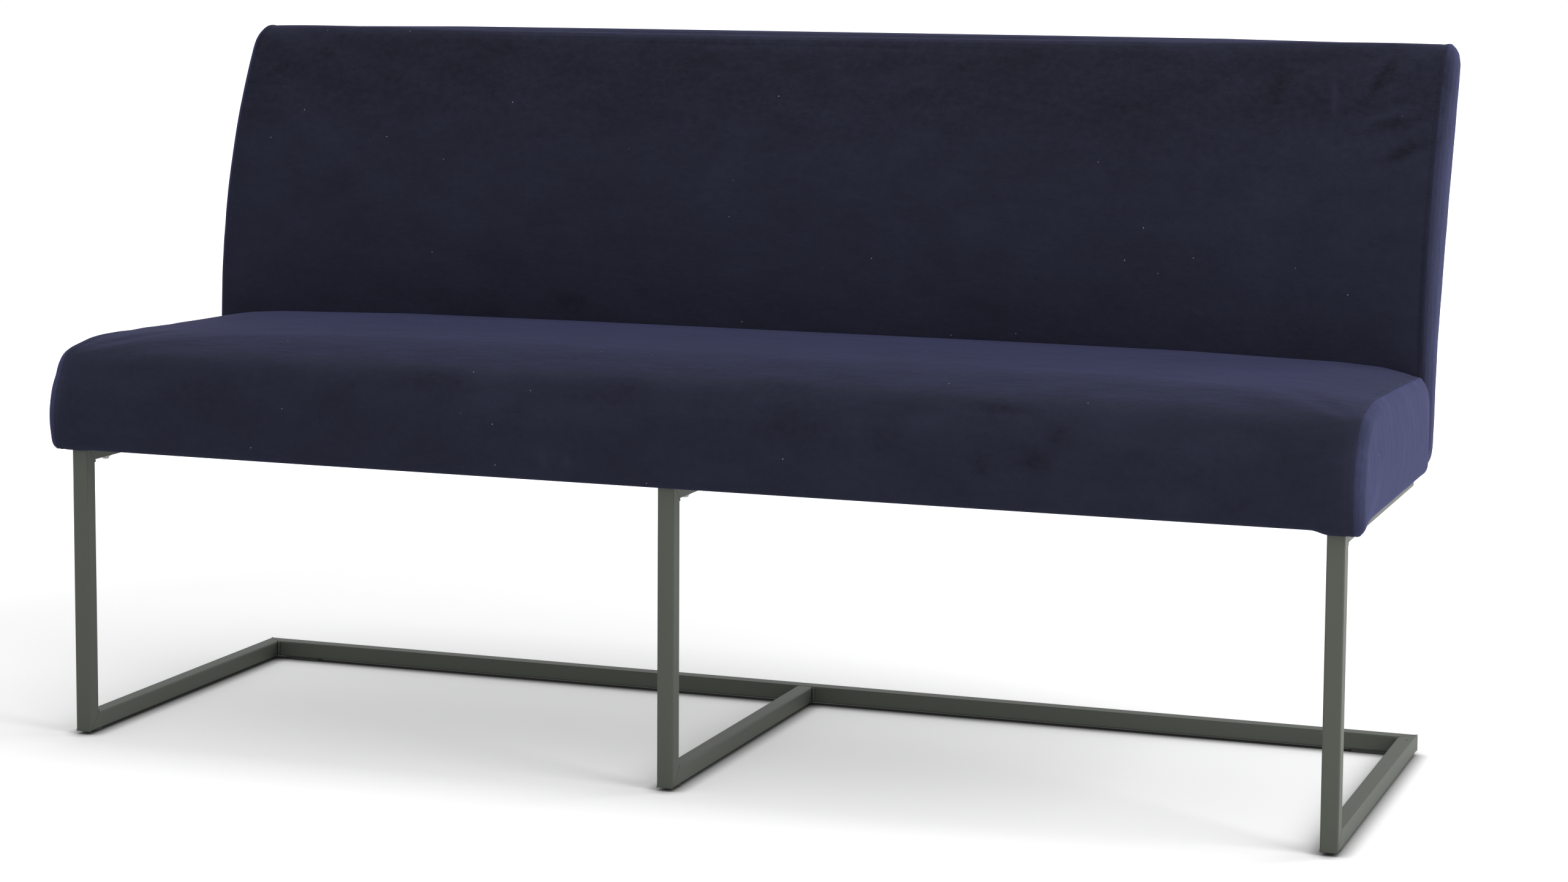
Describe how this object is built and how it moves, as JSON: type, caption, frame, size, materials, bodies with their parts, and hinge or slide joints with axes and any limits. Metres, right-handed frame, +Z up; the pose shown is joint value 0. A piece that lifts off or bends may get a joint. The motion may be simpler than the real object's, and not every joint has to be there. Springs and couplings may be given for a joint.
{
  "type": "dining bench",
  "caption": "Upholstered dining bench with a reclined back, velvet seat and back cushions on a cantilever frame of square steel tube.",
  "frame": {"origin": "centre of the footprint's box at floor level, under the glides", "axes": "+X along the bench's length, to the right when looking at its front; +Y from the front of the seat towards the back; +Z up"},
  "size_m": [1.602, 0.5818, 0.854],
  "materials": {
    "velvet": "short-pile velvet",
    "frame_coat": "fine-textured matt powder coat",
    "timber": "planed, bare",
    "foam": "cut foam",
    "webbing": "woven elastic",
    "dust_cloth": "non-woven cloth",
    "black_plastic": "moulded",
    "zinc_steel": "zinc plated"
  },
  "bodies": {
    "root": {"back_bolt_washers": "zinc_steel", "back_bolts": "zinc_steel", "back_cover": "velvet", "back_foam": "foam", "back_left_end_panel": "velvet", "back_left_inner_upright": "timber", "back_left_upright": "timber", "back_lower_rail": "timber", "back_rear_padding": "foam", "back_right_end_panel": "velvet", "back_right_inner_upright": "timber", "back_right_upright": "timber", "back_tee_nuts": "zinc_steel", "back_top_rail": "timber", "back_webbing": "webbing", "bearer_plugs": "black_plastic", "centre_bearer": "frame_coat", "centre_leg": "frame_coat", "centre_runner": "frame_coat", "frame_welds": "frame_coat", "front_glides": "black_plastic", "left_bearer": "frame_coat", "left_leg": "frame_coat", "left_runner": "frame_coat", "rear_glides": "black_plastic", "rear_rail": "frame_coat", "right_bearer": "frame_coat", "right_leg": "frame_coat", "right_runner": "frame_coat", "seat_bolt_washers": "zinc_steel", "seat_bolts": "zinc_steel", "seat_centre_rail": "timber", "seat_corner_blocks": "timber", "seat_cover": "velvet", "seat_dust_cover": "dust_cloth", "seat_edge_wrap": "foam", "seat_foam": "foam", "seat_front_rail": "timber", "seat_insert_nuts": "zinc_steel", "seat_left_cross_rail": "timber", "seat_left_end_panel": "velvet", "seat_left_rail": "timber", "seat_rear_rail": "timber", "seat_right_cross_rail": "timber", "seat_right_end_panel": "velvet", "seat_right_rail": "timber", "seat_webbing": "webbing"}
  },
  "joints": []
}
